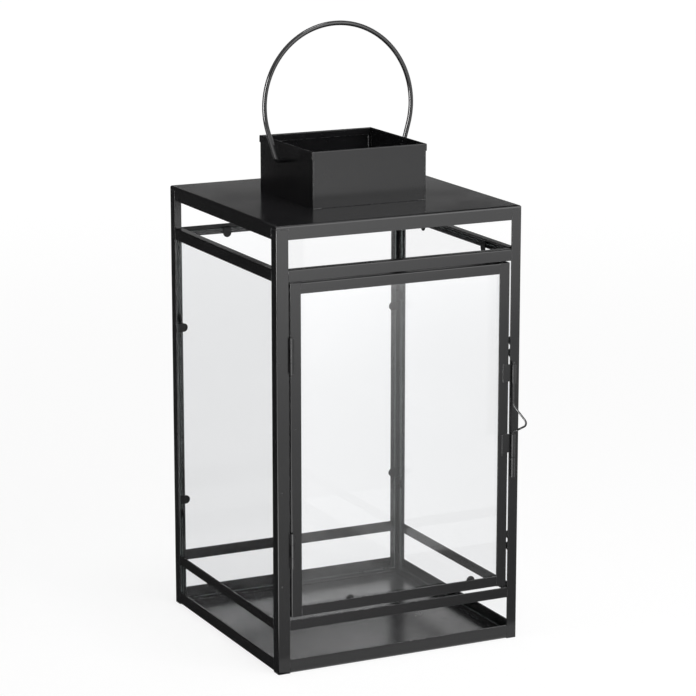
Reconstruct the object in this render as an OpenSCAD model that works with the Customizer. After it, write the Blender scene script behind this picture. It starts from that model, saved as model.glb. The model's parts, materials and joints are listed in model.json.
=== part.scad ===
// Square glazed metal lantern: folded sheet frame, vented roof with a chimney collar,
// a bail ring, three fixed panes and a hinged glazed door with a drop bolt.
// Millimetres. Origin at the centre of the base on the ground, +Z up, door face towards -Y.

/* [Body] */
// Outside width of the body, left to right
body_w = 250; // [230:5:300]
// Outside depth of the body, front to back
body_d = 245; // [225:5:300]
// Height of the roof plate above the ground
body_h = 419.6; // [395:0.1:500]
// Sheet thickness of the frame
sheet = 1.5; // [1.3:0.1:1.7]
// Outside bend radius of the folded posts and rails
fold_r = 1.2; // [0.8:0.1:1.2]
// Width of a post leaf
post_leaf = 11; // [10:0.5:13]
// Width of the post leaf that carries the hinges
post_leaf_hinge = 12; // [11:0.5:13]
// Width of the post leaf that carries the bolt keeper
post_leaf_latch = 10; // [10:0.5:12]

/* [Rails] */
// Height of the folded edge of the roof
roof_edge = 13.4; // [12:0.2:16]
// Bend radius of the roof edge
roof_r = 2.5; // [2:0.1:3]
// Height of the open vent under the roof
vent_gap = 27.4; // [20:0.1:32]
// Height of the upper rails
upper_rail_h = 10.8; // [9:0.1:13]
// Width of the flat leaf of the upper rails
upper_rail_leaf = 8; // [6:0.5:10]
// Height of the flat upper rail at the back
back_rail_h = 9.7; // [8:0.1:10.8]
// Height of the lower bars
lower_bar_h = 9.7; // [8:0.1:12]
// Underside of the lower bars above the ground
lower_bar_z = 41.3; // [36:0.1:46]
// Height of the lower bar at the back
back_bar_h = 10.5; // [8:0.1:12]
// Underside of the lower bar at the back above the ground
back_bar_z = 41.9; // [36:0.1:46]
// Height of the base rails
base_rail_h = 12; // [10:0.5:14]
// Height of the base rail at the back
back_base_h = 12.5; // [10:0.5:14]
// Width of the flat leaf of the base rails
base_rail_leaf = 11; // [9:0.5:13]
// Thickness of the floor plate
floor_t = 1.2; // [1:0.1:1.5]

/* [Chimney collar] */
// Outside width of the square collar
collar_w = 116.5; // [112:0.5:125]
// Height of the collar above the roof plate
collar_h = 53; // [50:0.1:60]
// Sheet thickness of the collar
collar_t = 1; // [0.8:0.1:1.1]
// Height of the folded hem along the collar's rim
hem_h = 6.8; // [5:0.1:8]
// Width of the square vent in the roof plate
vent_w = 100; // [80:1:106]

/* [Ring handle] */
// Wire diameter of the ring
ring_wire = 4.5; // [3.5:0.1:5]
// Radius of the ring to the middle of the wire
ring_r = 76.2; // [75:0.1:80]
// Centre of the ring above its pivots
ring_rise = 48.4; // [46:0.1:52]
// Sideways offset of the ring from the middle of the collar
ring_offset = -2.7; // [-2.7:0.1:2.7]
// Height of the pivots above the roof plate
pivot_h = 37.2; // [35:0.1:40]
// Backward lean of the ring at rest
ring_lean = 2.9; // [0:0.1:4]

/* [Door] */
// Width of the door stiles
stile_w = 10.4; // [9:0.1:12]
// Height of the door rails
door_rail_h = 10; // [9:0.1:12]
// Depth of the door frame's return leaves
door_depth = 9; // [8:0.5:10]
// Gap between the hinge post and the door
door_gap_hinge = 1.7; // [1.7:0.1:2]
// Gap between the door and the latch post
door_gap_latch = 1.5; // [1.5:0.1:2]
// Gap above the door
door_gap_top = 1.7; // [1.5:0.1:2.5]
// Gap between the lower bar and the door
door_gap_bottom = 2.6; // [1.5:0.1:3]

/* [Hinges] */
// Barrel diameter
barrel_d = 4; // [3.8:0.1:4.2]
// Height of each hinge
hinge_h = 33; // [30:0.5:36]
// Middle of the lower hinge above the ground
hinge_low_z = 117.6; // [110:0.1:140]
// Middle of the upper hinge above the ground
hinge_high_z = 300.4; // [285:0.1:310]

/* [Drop bolt] */
// Wire diameter of the bolt
bolt_wire = 1.9; // [1.7:0.1:2]
// How far the finger bow stands out from the bolt's line
bow_reach = 15; // [14:0.5:17]
// Direction of the bow, turned from the latch side towards the front
bow_turn = 63; // [50:1:80]

/* [Glass] */
// Thickness of the panes
glass_t = 2; // [1.8:0.1:2]
// Overlap of the panes on the upper rails
pane_lap = 5.3; // [4:0.1:7]
// Thickness of the pane clips
clip_t = 0.8; // [0.7:0.1:0.9]
// Width of the pane clips
clip_w = 8.5; // [7.5:0.1:9]

/* [Hidden] */
hw = body_w / 2;
hd = body_d / 2;

// Frame levels
roof_under = body_h - roof_edge;
upper_rail_z = roof_under - vent_gap - upper_rail_h;
base_rail_z = floor_t;
post_top = body_h - 3.7;

// Openings between the posts
front_x0 = -hw + post_leaf_hinge;
front_x1 = hw - post_leaf_latch;
side_y = hd - post_leaf;
back_x = hw - post_leaf;

// Door
door_x0 = front_x0 + door_gap_hinge;
door_x1 = front_x1 - door_gap_latch;
door_z0 = lower_bar_z + lower_bar_h + door_gap_bottom;
door_z1 = upper_rail_z - door_gap_top;
door_in_x0 = door_x0 + stile_w;
door_in_x1 = door_x1 - stile_w;
door_in_z0 = door_z0 + door_rail_h;
door_in_z1 = door_z1 - door_rail_h;

// Hinge
barrel_r = barrel_d / 2;
hinge_x = front_x0 + barrel_r;
hinge_y = -hd - barrel_r - 0.3;
hinge_pin_r = 1;
leaf_t = 0.7;
leaf_depth = 8.5;
knuckle_z = hinge_h * 0.31;
knuckle_gap = 0.3;
run_gap = 0.07;

// Drop bolt
bolt_r = bolt_wire / 2;
latch_x = hw - 7.6;
latch_y = -hd - 2.7;
latch_wall = 1;
latch_r = bolt_r + run_gap + latch_wall;
ear_t = 1;
ear_x0 = latch_x - 10;
upper_ear_z = [253.1, 269.6];
upper_barrel_z = [251.6, 269.1];
lower_ear_z = [184.4, 202.3];
lower_barrel_z = [180.6, 202.1];
keeper_z = [160.7, 179.7];
bolt_top = 272.1;
bolt_tip = 164.6;
bow_top = 230.2;
bow_mid = 214.1;
bow_low = 204.1;
bow_top_r = 8;
bow_tip_r = 4;
bow_low_r = 3;

// Collar and ring
collar_hw = collar_w / 2;
collar_top = body_h + collar_h;
pivot_z = body_h + pivot_h;
ring_wire_r = ring_wire / 2;
leg_tilt = 17;
leg_bend_r = 4;
pin_in = 5.5;

// Panes
pane_edge = 4;
pane_z0 = base_rail_z + sheet;
pane_z1 = upper_rail_z + pane_lap;
rail_leaf_z = upper_rail_z + upper_rail_h - sheet;
clip_reach = post_leaf + 4;
back_clip_zs = [278.8, 105];
side_clip_zs = [289.9, 93.4];
pair_clip_zs = [289.1, 277.3, 99.7, 88.4];

frame_black = "#2b2b2d";
glass_tint = "#dfe6e8";

// ---------- Shared shapes ----------

// Folded angle in plan, outside corner at the origin, leaves along +X and +Y
module angle_2d(leaf_x, leaf_y, t, r) {
  translate([r, 0]) square([leaf_x - r, t]);
  translate([0, r]) square([t, leaf_y - r]);
  intersection() {
    translate([r, r]) circle(r = r, $fn = 48);
    square([r, r]);
  }
}

// Upright box with its upper long edges rounded, running along Y
module arch_bar(half, length, z0, z1, r) {
  rotate([90, 0, 0])
    linear_extrude(height = length, center = true) {
      translate([-half, z0]) square([2 * half, z1 - r - z0]);
      translate([-half + r, z0]) square([2 * (half - r), z1 - z0]);
      for (s = [-1, 1])
        translate([s * (half - r), z1 - r]) circle(r = r, $fn = 64);
    }
}

// Block with rounded top edges on all four sides, mitred at the corners
module pillow(half_x, half_y, z0, z1, r) {
  intersection() {
    arch_bar(half_x, 2 * half_y, z0, z1, r);
    rotate([0, 0, 90]) arch_bar(half_y, 2 * half_x, z0, z1, r);
  }
}

// Straight wire between two points of the XZ plane
module wire_line(p, q, r) {
  dx = q[0] - p[0];
  dz = q[1] - p[1];
  translate([p[0], 0, p[1]])
    rotate([0, atan2(dx, dz), 0])
      cylinder(h = sqrt(dx * dx + dz * dz), r = r, $fn = 32);
}

// Bent wire in the XZ plane, from angle a0 through a sweep
module wire_arc(c, bend, a0, sweep, r) {
  translate([c[0], 0, c[1]])
    rotate([90, 0, 0])
      rotate([0, 0, a0])
        rotate_extrude(angle = sweep, $fn = 96)
          translate([bend, 0]) circle(r = r, $fn = 32);
}

// Blend between two stretches of a bent wire
module wire_joint(p, r) {
  translate([p[0], 0, p[1]]) sphere(r = r + 0.03, $fn = 48);
}

// Tube standing on z0, bored through
module barrel(outer, bore, z0, z1) {
  difference() {
    translate([0, 0, z0]) cylinder(h = z1 - z0, r = outer, $fn = 40);
    translate([0, 0, z0 - 1]) cylinder(h = z1 - z0 + 2, r = bore, $fn = 40);
  }
}

// Tongue in the XZ plane with a rounded end, thickness towards -Y
module tongue(length, width, t) {
  rotate([90, 0, 0])
    linear_extrude(height = t) {
      translate([0, -width / 2]) square([length - width / 2, width]);
      translate([length - width / 2, 0]) circle(d = width, $fn = 40);
    }
}

// ---------- Frame ----------

module post(sx, sy, leaf_x, leaf_y) {
  color(frame_black)
    translate([sx * hw, sy * hd, 0])
      linear_extrude(height = post_top)
        scale([-sx, -sy]) angle_2d(leaf_x, leaf_y, sheet, fold_r);
}

module post_front_left() post(-1, -1, post_leaf_hinge, post_leaf);
module post_front_right() post(1, -1, post_leaf_latch, post_leaf);
module post_back_left() post(-1, 1, post_leaf, post_leaf);
module post_back_right() post(1, 1, post_leaf, post_leaf);

// Slots in the roof's folded edge for the leaves of one post
module post_slots(sx, sy, leaf_x, leaf_y) {
  height = post_top - roof_under + 1;
  translate([sx * hw, sy * hd, roof_under - 1])
    scale([-sx, -sy, 1]) {
      translate([-1, -1, 0]) cube([leaf_x + 1, sheet + 1, height]);
      translate([-1, -1, 0]) cube([sheet + 1, leaf_y + 1, height]);
    }
}

module roof_cap() {
  color(frame_black)
    difference() {
      intersection() {
        pillow(hw, hd, roof_under, body_h, roof_r);
        translate([0, 0, roof_under - 1])
          linear_extrude(height = roof_edge + 2) {
            square([body_w - 2 * fold_r, body_d], center = true);
            square([body_w, body_d - 2 * fold_r], center = true);
            for (sx = [-1, 1], sy = [-1, 1])
              translate([sx * (hw - fold_r), sy * (hd - fold_r)])
                circle(r = fold_r, $fn = 48);
          }
      }
      pillow(hw - sheet, hd - sheet, roof_under - 1, body_h - sheet, roof_r - sheet);
      post_slots(-1, -1, post_leaf_hinge, post_leaf);
      post_slots(1, -1, post_leaf_latch, post_leaf);
      post_slots(-1, 1, post_leaf, post_leaf);
      post_slots(1, 1, post_leaf, post_leaf);
      translate([0, 0, body_h - 5])
        linear_extrude(height = 10) square(vent_w, center = true);
    }
}

// Folded rail with its bend rounded, outside face on Y = 0, flat leaf towards +Y
module rail(x0, x1, z, height, leaf, flat_top) {
  translate([x0, 0, z])
    rotate([90, 0, 90])
      linear_extrude(height = x1 - x0)
        translate([0, flat_top ? height : 0])
          scale([1, flat_top ? -1 : 1]) angle_2d(leaf, height, sheet, fold_r);
}

module upper_rail_front() {
  color(frame_black)
    translate([0, -hd, 0])
      rail(front_x0, front_x1, upper_rail_z, upper_rail_h, upper_rail_leaf, true);
}

module upper_rail_left() {
  color(frame_black)
    rotate([0, 0, -90]) translate([0, -hw, 0])
      rail(-side_y, side_y, upper_rail_z, upper_rail_h, upper_rail_leaf, true);
}

module upper_rail_right() {
  color(frame_black)
    rotate([0, 0, 90]) translate([0, -hw, 0])
      rail(-side_y, side_y, upper_rail_z, upper_rail_h, upper_rail_leaf, true);
}

// Flat bar between two posts, outside face towards -Y
module bar(x0, x1, y_face, z = lower_bar_z, height = lower_bar_h) {
  color(frame_black)
    translate([x0, -y_face, z]) cube([x1 - x0, sheet, height]);
}

module upper_rail_back()
  rotate([0, 0, 180]) bar(-back_x, back_x, hd, upper_rail_z, back_rail_h);
module lower_bar_front() bar(front_x0, front_x1, hd);
module lower_bar_back()
  rotate([0, 0, 180]) bar(-back_x, back_x, hd, back_bar_z, back_bar_h);
module lower_bar_left() rotate([0, 0, -90]) bar(-side_y, side_y, hw);
module lower_bar_right() rotate([0, 0, 90]) bar(-side_y, side_y, hw);

module base_rail_front() {
  color(frame_black)
    translate([0, -hd, 0])
      rail(front_x0, front_x1, base_rail_z, base_rail_h, base_rail_leaf, false);
}

module base_rail_back() {
  color(frame_black)
    rotate([0, 0, 180]) translate([0, -hd, 0])
      rail(-back_x, back_x, base_rail_z, back_base_h, base_rail_leaf, false);
}

module base_rail_left() {
  color(frame_black)
    rotate([0, 0, -90]) translate([0, -hw, 0])
      rail(-side_y, side_y, base_rail_z, base_rail_h, base_rail_leaf, false);
}

module base_rail_right() {
  color(frame_black)
    rotate([0, 0, 90]) translate([0, -hw, 0])
      rail(-side_y, side_y, base_rail_z, base_rail_h, base_rail_leaf, false);
}

// Floor sheet under the base rails, inside the posts
module floor_plate() {
  inset = sheet + 0.3;
  color(frame_black)
    linear_extrude(height = floor_t)
      square([body_w - 2 * inset, body_d - 2 * inset], center = true);
}

// ---------- Chimney collar ----------

// Wall section: the rim folded down on the +X side
module hemmed_2d(height) {
  square([collar_t, height - collar_t]);
  translate([collar_t, height - hem_h]) square([collar_t, hem_h - collar_t]);
  translate([collar_t, height - collar_t])
    intersection() {
      circle(r = collar_t, $fn = 48);
      translate([-collar_t, 0]) square([2 * collar_t, collar_t]);
    }
}

// Wall running along Y, plain face on X = 0, hem towards +X
module hemmed_wall(length) {
  rotate([90, 0, 0])
    linear_extrude(height = length, center = true) hemmed_2d(collar_h);
}

// Side wall with the pivot hole of the ring
module side_wall() {
  color(frame_black)
    difference() {
      translate([collar_hw - collar_t, 0, body_h]) hemmed_wall(collar_w);
      translate([collar_hw - 5, 0, pivot_z])
        rotate([0, 90, 0]) cylinder(h = 10, r = ring_wire_r + run_gap, $fn = 40);
    }
}

// Front or back wall, fitted between the side walls with its hem inside
module end_wall() {
  color(frame_black)
    translate([0, -collar_hw, body_h])
      rotate([0, 0, 90]) hemmed_wall(collar_w - 2 * collar_t);
}

module collar_right() side_wall();
module collar_left() rotate([0, 0, 180]) side_wall();
module collar_front() end_wall();
module collar_back() rotate([0, 0, 180]) end_wall();

// ---------- Ring handle ----------

// Plane of the ring: X across, Z up from the pivots
ring_end = [ring_r * cos(leg_tilt), ring_rise - ring_r * sin(leg_tilt)];

// Straight leg, bend and pivot pin on the +X side of a ring shifted along X
module ring_leg(shift) {
  foot_x = ring_end[0] - ring_end[1] * tan(leg_tilt);
  turn = 90 - leg_tilt;
  trim = leg_bend_r * tan(turn / 2);
  leg_foot = [foot_x + trim * sin(leg_tilt), trim * cos(leg_tilt)];
  pin_start = [foot_x - trim, 0];
  wire_joint(ring_end, ring_wire_r);
  wire_line(leg_foot, ring_end, ring_wire_r);
  wire_joint(leg_foot, ring_wire_r);
  wire_arc([pin_start[0], leg_bend_r], leg_bend_r, -90, turn, ring_wire_r);
  wire_joint(pin_start, ring_wire_r);
  wire_line([collar_hw - pin_in - shift, 0], pin_start, ring_wire_r);
}

module ring_handle() {
  color(frame_black)
    translate([0, 0, pivot_z])
      rotate([-ring_lean, 0, 0])
        translate([ring_offset, 0, 0]) {
          wire_arc([0, ring_rise], ring_r, -leg_tilt, 180 + 2 * leg_tilt, ring_wire_r);
          ring_leg(ring_offset);
          mirror([1, 0, 0]) ring_leg(-ring_offset);
        }
}

// ---------- Panes and clips ----------

module glass_left() {
  color(glass_tint)
    translate([-hw + sheet, -side_y - pane_edge, pane_z0])
      cube([glass_t, 2 * (side_y + pane_edge), pane_z1 - pane_z0]);
}

module glass_right() {
  color(glass_tint)
    translate([hw - sheet - glass_t, -side_y - pane_edge, pane_z0])
      cube([glass_t, 2 * (side_y + pane_edge), pane_z1 - pane_z0]);
}

module glass_back() {
  color(glass_tint)
    translate([-back_x - pane_edge, hd - sheet - glass_t, pane_z0])
      cube([2 * (back_x + pane_edge), glass_t, pane_z1 - pane_z0]);
}

// Clip in plan on the corner of a post: foot on the far leaf, tongue along the pane.
// Local frame: pane's inner face on Y = 0, far leaf on X = 0, inside towards -Y and +X.
module post_clip(z) {
  translate([0, 0, z]) {
    translate([0, -3.2, -clip_w / 2]) cube([clip_t, 5, clip_w]);
    tongue(clip_reach - sheet, clip_w, clip_t);
  }
}

// Clip under a rail's flat leaf, tongue down the pane's inner face (Y = 0)
module rail_clip(x, foot_z, drop) {
  translate([x, 0, foot_z]) {
    translate([-clip_w / 2, -3.5, -clip_t]) cube([clip_w, 3.5, clip_t]);
    rotate([0, 90, 0]) tongue(drop, clip_w, clip_t);
  }
}

// Clip on the flat upper rail: foot over the pane's top edge, tongue down its inner face
module bar_clip(x) {
  foot_z = pane_z1 + 0.2;
  translate([x, 0, foot_z]) {
    translate([-clip_w / 2, -clip_t, 0]) cube([clip_w, clip_t + glass_t, clip_t]);
    translate([0, 0, clip_t])
      rotate([0, 90, 0]) tongue(pane_lap + 4.5, clip_w, clip_t);
  }
}

// Clips along the two upright edges of one pane, by height
module pane_clips(half, near_zs, far_zs) {
  for (z = near_zs)
    translate([-half, 0, 0]) post_clip(z);
  for (z = far_zs)
    translate([half, 0, 0]) mirror([1, 0, 0]) post_clip(z);
}

module clips_back() {
  color(frame_black)
    translate([0, hd - sheet - glass_t, 0]) {
      pane_clips(hw - sheet, back_clip_zs, back_clip_zs);
      for (x = [-67, 62])
        bar_clip(x);
    }
}

module clips_left() {
  color(frame_black)
    translate([-hw + sheet + glass_t, 0, 0])
      rotate([0, 0, 90]) {
        pane_clips(hd - sheet, pair_clip_zs, side_clip_zs);
        rail_clip(74, rail_leaf_z, upper_rail_h - 0.7);
      }
}

module clips_right() {
  color(frame_black)
    translate([hw - sheet - glass_t, 0, 0])
      rotate([0, 0, -90]) {
        pane_clips(hd - sheet, side_clip_zs, pair_clip_zs);
        for (x = [-67, 56])
          rail_clip(x, rail_leaf_z, upper_rail_h + 2.5);
      }
}

// ---------- Door ----------

// Full-height angle stile: face leaf in front, return leaf on the outer edge
module stile(x, side) {
  color(frame_black)
    translate([x, -hd, door_z0])
      linear_extrude(height = door_z1 - door_z0)
        scale([side, 1]) angle_2d(stile_w, door_depth, sheet, fold_r);
}

module door_stile_hinge() stile(door_x0, 1);
module door_stile_latch() stile(door_x1, -1);

// Angle rail: face leaf between the stiles, flat leaf running on behind them
module door_rail(z, up) {
  leaf_x0 = door_x0 + sheet;
  leaf_x1 = door_x1 - sheet;
  color(frame_black) {
    translate([door_in_x0, -hd, z])
      rotate([90, 0, 90])
        linear_extrude(height = door_in_x1 - door_in_x0)
          scale([1, up]) angle_2d(door_depth, door_rail_h, sheet, fold_r);
    translate([leaf_x0, -hd + sheet, up > 0 ? z : z - sheet])
      cube([leaf_x1 - leaf_x0, door_depth - sheet, sheet]);
  }
}

module door_rail_top() door_rail(door_z1, -1);
module door_rail_bottom() door_rail(door_z0, 1);

module door_glass() {
  edge = 4;
  color(glass_tint)
    translate([door_in_x0 - edge, -hd + sheet, door_in_z0 - edge])
      cube([door_in_x1 - door_in_x0 + 2 * edge, glass_t, door_in_z1 - door_in_z0 + 2 * edge]);
}

// Clips on the door rails' return leaves, tongues behind the pane
module door_clips() {
  color(frame_black)
    translate([0, -hd + sheet + glass_t, 0])
      rotate([0, 0, 180]) {
        for (x = [55, -61])
          rail_clip(x, door_z1 - sheet, door_rail_h - sheet + 1);
        for (x = [50, -77])
          translate([0, 0, 2 * (door_z0 + sheet)]) mirror([0, 0, 1])
            rail_clip(x, door_z0 + sheet, door_rail_h - sheet + 3);
      }
}

// ---------- Hinges ----------

// Leaf plate in the gap between post and door, cut back from the barrel
module leaf_plate(x0, z_mid) {
  translate([x0, -hd + 0.5, z_mid - hinge_h / 2]) cube([leaf_t, leaf_depth, hinge_h]);
}

// Neck from the barrel to the leaf plate over one knuckle
module neck(x0, z0, z1) {
  translate([x0, hinge_y, z0]) cube([leaf_t, -hd + 0.5 - hinge_y, z1 - z0]);
}

module frame_leaf(z_mid) {
  low = z_mid - hinge_h / 2;
  high = z_mid + hinge_h / 2;
  leaf_x = hinge_x - barrel_r;
  color(frame_black)
    difference() {
      union() {
        leaf_plate(leaf_x, z_mid);
        for (span = [[low, low + knuckle_z], [high - knuckle_z, high]]) {
          neck(leaf_x, span[0], span[1]);
          translate([hinge_x, hinge_y, span[0]])
            cylinder(h = span[1] - span[0], r = barrel_r, $fn = 40);
        }
      }
      translate([hinge_x, hinge_y, low - 1])
        cylinder(h = hinge_h + 2, r = hinge_pin_r, $fn = 40);
    }
}

module door_leaf(z_mid) {
  z0 = z_mid - hinge_h / 2 + knuckle_z + knuckle_gap;
  z1 = z_mid + hinge_h / 2 - knuckle_z - knuckle_gap;
  leaf_x = door_x0 - leaf_t;
  color(frame_black)
    difference() {
      union() {
        leaf_plate(leaf_x, z_mid);
        neck(leaf_x, z0, z1);
        translate([hinge_x, hinge_y, z0])
          cylinder(h = z1 - z0, r = barrel_r, $fn = 40);
      }
      translate([hinge_x, hinge_y, z0 - 1])
        cylinder(h = z1 - z0 + 2, r = hinge_pin_r + run_gap, $fn = 40);
    }
}

module hinge_pin(z_mid) {
  color(frame_black)
    translate([hinge_x, hinge_y, z_mid - hinge_h / 2 - 0.3])
      cylinder(h = hinge_h + 0.6, r = hinge_pin_r, $fn = 40);
}

module hinge_low_frame_leaf() frame_leaf(hinge_low_z);
module hinge_high_frame_leaf() frame_leaf(hinge_high_z);
module hinge_low_door_leaf() door_leaf(hinge_low_z);
module hinge_high_door_leaf() door_leaf(hinge_high_z);
module hinge_low_pin() hinge_pin(hinge_low_z);
module hinge_high_pin() hinge_pin(hinge_high_z);

// ---------- Drop bolt ----------

// Guide on the door: welded ear with its edge rolled into a barrel round the bolt
module bolt_guide(ear_z, barrel_z) {
  color(frame_black)
    difference() {
      union() {
        translate([ear_x0, -hd - ear_t, ear_z[0]])
          cube([latch_x - ear_x0, ear_t, ear_z[1] - ear_z[0]]);
        translate([latch_x, latch_y, barrel_z[0]])
          cylinder(h = barrel_z[1] - barrel_z[0], r = latch_r, $fn = 40);
      }
      translate([latch_x, latch_y, barrel_z[0] - 5])
        cylinder(h = barrel_z[1] - barrel_z[0] + 10, r = bolt_r + run_gap, $fn = 40);
      translate([door_x1 + 0.4, -hd - 0.4, ear_z[0] - 1])
        cube([latch_x - door_x1, 1, ear_z[1] - ear_z[0] + 2]);
    }
}

module bolt_guide_upper() bolt_guide(upper_ear_z, upper_barrel_z);
module bolt_guide_lower() bolt_guide(lower_ear_z, lower_barrel_z);

// Keeper on the post: barrel on a welded foot
module bolt_keeper() {
  height = keeper_z[1] - keeper_z[0];
  color(frame_black)
    difference() {
      union() {
        translate([latch_x - 1.2, -hd - ear_t, keeper_z[0]]) cube([2.4, ear_t, height]);
        translate([latch_x, latch_y, keeper_z[0]])
          cylinder(h = height, r = latch_r, $fn = 40);
      }
      translate([latch_x, latch_y, keeper_z[0] - 5])
        cylinder(h = height + 10, r = bolt_r + run_gap, $fn = 40);
    }
}

// Angle of a direction in the XZ plane, from +X
function heading(p, q) = atan2(q[1] - p[1], q[0] - p[0]);

// Distance from a corner to where its bend begins
function bend_trim(turn, bend) = bend * tan(abs(turn) / 2);

function unit(p, q) = (q - p) / norm(q - p);

// Wire bow in its own plane: out from the bolt's line to a rounded tip and back
module bow() {
  a = [0, bow_top];
  b = [bow_reach + 2, bow_mid];
  c = [0, bow_low];
  out_dir = heading(a, b);
  back_dir = heading(b, c);
  turn_a = 90 + out_dir;
  turn_b = out_dir - back_dir;
  turn_c = -90 - back_dir;
  trim_a = bend_trim(turn_a, bow_top_r);
  trim_b = bend_trim(turn_b, bow_tip_r);
  trim_c = bend_trim(turn_c, bow_low_r);
  a_in = a + [0, trim_a];
  a_out = a + trim_a * unit(a, b);
  b_in = b + trim_b * unit(b, a);
  b_out = b + trim_b * unit(b, c);
  c_in = c + trim_c * unit(c, b);
  c_out = c - [0, trim_c];
  wire_line(a_in, [0, bolt_top], bolt_r);
  wire_arc([bow_top_r, a_in[1]], bow_top_r, 180, turn_a, bolt_r);
  wire_line(a_out, b_in, bolt_r);
  wire_arc(b_in + bow_tip_r * [sin(out_dir), -cos(out_dir)], bow_tip_r,
           out_dir + 90 - turn_b, turn_b, bolt_r);
  wire_line(c_in, b_out, bolt_r);
  wire_arc([bow_low_r, c_out[1]], bow_low_r, 180 - turn_c, turn_c, bolt_r);
  wire_line([0, bolt_tip], c_out + [0, 0.1], bolt_r);
  for (p = [a_in, a_out, b_in, b_out, c_in, c_out])
    wire_joint(p, bolt_r);
}

module drop_bolt() {
  color(frame_black)
    translate([latch_x, latch_y, 0])
      rotate([0, 0, -bow_turn]) bow();
}

// ---------- Output ----------

post_front_left();
post_front_right();
post_back_left();
post_back_right();
roof_cap();
upper_rail_front();
upper_rail_back();
upper_rail_left();
upper_rail_right();
lower_bar_front();
lower_bar_back();
lower_bar_left();
lower_bar_right();
base_rail_front();
base_rail_back();
base_rail_left();
base_rail_right();
floor_plate();
collar_front();
collar_back();
collar_left();
collar_right();
glass_back();
glass_left();
glass_right();
clips_back();
clips_left();
clips_right();
hinge_low_frame_leaf();
hinge_high_frame_leaf();
hinge_low_pin();
hinge_high_pin();
bolt_keeper();
door_stile_hinge();
door_stile_latch();
door_rail_top();
door_rail_bottom();
door_glass();
door_clips();
hinge_low_door_leaf();
hinge_high_door_leaf();
bolt_guide_upper();
bolt_guide_lower();
drop_bolt();
ring_handle();
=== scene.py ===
import json
import math

import bmesh
import bpy
from bpy.props import FloatProperty, FloatVectorProperty, IntProperty, PointerProperty
from mathutils import Matrix, Vector


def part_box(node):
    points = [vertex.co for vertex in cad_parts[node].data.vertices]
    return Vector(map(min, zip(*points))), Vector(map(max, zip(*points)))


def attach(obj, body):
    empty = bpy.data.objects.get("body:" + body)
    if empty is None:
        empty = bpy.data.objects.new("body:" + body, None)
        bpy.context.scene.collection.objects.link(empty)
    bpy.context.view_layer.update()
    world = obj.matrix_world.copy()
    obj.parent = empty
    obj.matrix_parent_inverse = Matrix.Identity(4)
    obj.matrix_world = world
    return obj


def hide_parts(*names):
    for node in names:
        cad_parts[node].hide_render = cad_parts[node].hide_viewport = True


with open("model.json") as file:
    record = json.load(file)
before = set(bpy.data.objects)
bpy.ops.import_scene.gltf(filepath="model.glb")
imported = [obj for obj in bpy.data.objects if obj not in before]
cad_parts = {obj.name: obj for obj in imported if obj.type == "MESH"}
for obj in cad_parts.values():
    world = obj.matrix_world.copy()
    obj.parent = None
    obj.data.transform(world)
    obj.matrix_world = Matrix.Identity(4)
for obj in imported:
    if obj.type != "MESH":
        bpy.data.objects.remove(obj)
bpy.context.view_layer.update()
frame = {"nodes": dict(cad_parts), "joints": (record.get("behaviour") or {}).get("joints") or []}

bl_info = {
    "name": "Square glazed lantern",
    "version": (1, 0, 0),
    "blender": (4, 5, 0),
    "location": "View3D > Sidebar > Lantern",
    "description": "Paints, glazes and lights the packed lantern",
    "category": "Object",
}

X, Y, Z = Vector((1, 0, 0)), Vector((0, 1, 0)), Vector((0, 0, 1))
QUARTER = math.pi / 2


# ---------- Pieces of the frame ----------

POSTS = ("post_front_left", "post_front_right", "post_back_left", "post_back_right")
UPPER_RAILS = ("upper_rail_front", "upper_rail_back", "upper_rail_left", "upper_rail_right")
LOWER_BARS = ("lower_bar_front", "lower_bar_back", "lower_bar_left", "lower_bar_right")
BASE_RAILS = ("base_rail_front", "base_rail_back", "base_rail_left", "base_rail_right")
DIM_RAILS = ("upper_rail_back", "upper_rail_right")
COLLAR_WALLS = ("collar_front", "collar_back", "collar_left", "collar_right")
DOOR_SHEET = ("door_stile_hinge", "door_stile_latch", "door_rail_top", "door_rail_bottom")
FRAME_CLIPS = ("clips_back", "clips_left", "clips_right")
FRAME_HINGES = ("hinge_low_frame_leaf", "hinge_high_frame_leaf")
DOOR_HINGES = ("hinge_low_door_leaf", "hinge_high_door_leaf")
HINGE_PINS = ("hinge_low_pin", "hinge_high_pin")
GUIDES = ("bolt_guide_upper", "bolt_guide_lower")


# ---------- Names and grain of the finishes ----------

COAT = "satin black coat"
# The collar's coat is the same paint set to mirror less, so that the collar renders darker: painted
# shade.
COLLAR_COAT = "satin black coat on collar"
# The same paint set to mirror less, so that the back and right upper rails and the pane clips
# render darker: painted shade.
DIMMED_COAT = "black coat dimmed as painted shade"
FLOOR_COAT = "satin black coat on floor"
WIRE_COAT = "satin black coat on wire"
FITTING_COAT = "satin black coat on fittings"
WELD_COAT = "coat over weld"
NEAR_GLASS = "clear float glass"
FAR_GLASS = "clear float glass behind"

# Each coat: roughness over the paint's own, share of its orange peel, wear and painted highlight on
# edges, gloss (IOR)
COATS = {
    COAT: (0.0, 1.0, 0.9, 1.5),
    # Lower gloss on the collar's copy darkens it: painted shade.
    COLLAR_COAT: (0.0, 1.0, 0.9, 1.4),
    # Low gloss here darkens the rails and clips inside the lantern: painted shade.
    DIMMED_COAT: (0.02, 1.0, 0.9, 1.28),
    FLOOR_COAT: (0.06, 1.5, 0.9, 1.95),
    WIRE_COAT: (-0.04, 0.25, 0.6, 1.5),
    FITTING_COAT: (0.04, 1.2, 1.0, 1.5),
}

# Each pane: the body that carries it, and its glass
# Near and far glass are one glass: the near panes are set to mirror more, a painted reflection, and
# the far panes are tinted a little darker, a painted shade.
PANES = {
    "glass_back": ("lantern", FAR_GLASS),
    "glass_left": ("lantern", NEAR_GLASS),
    "glass_right": ("lantern", FAR_GLASS),
    "door_glass": ("door", NEAR_GLASS),
}

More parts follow.
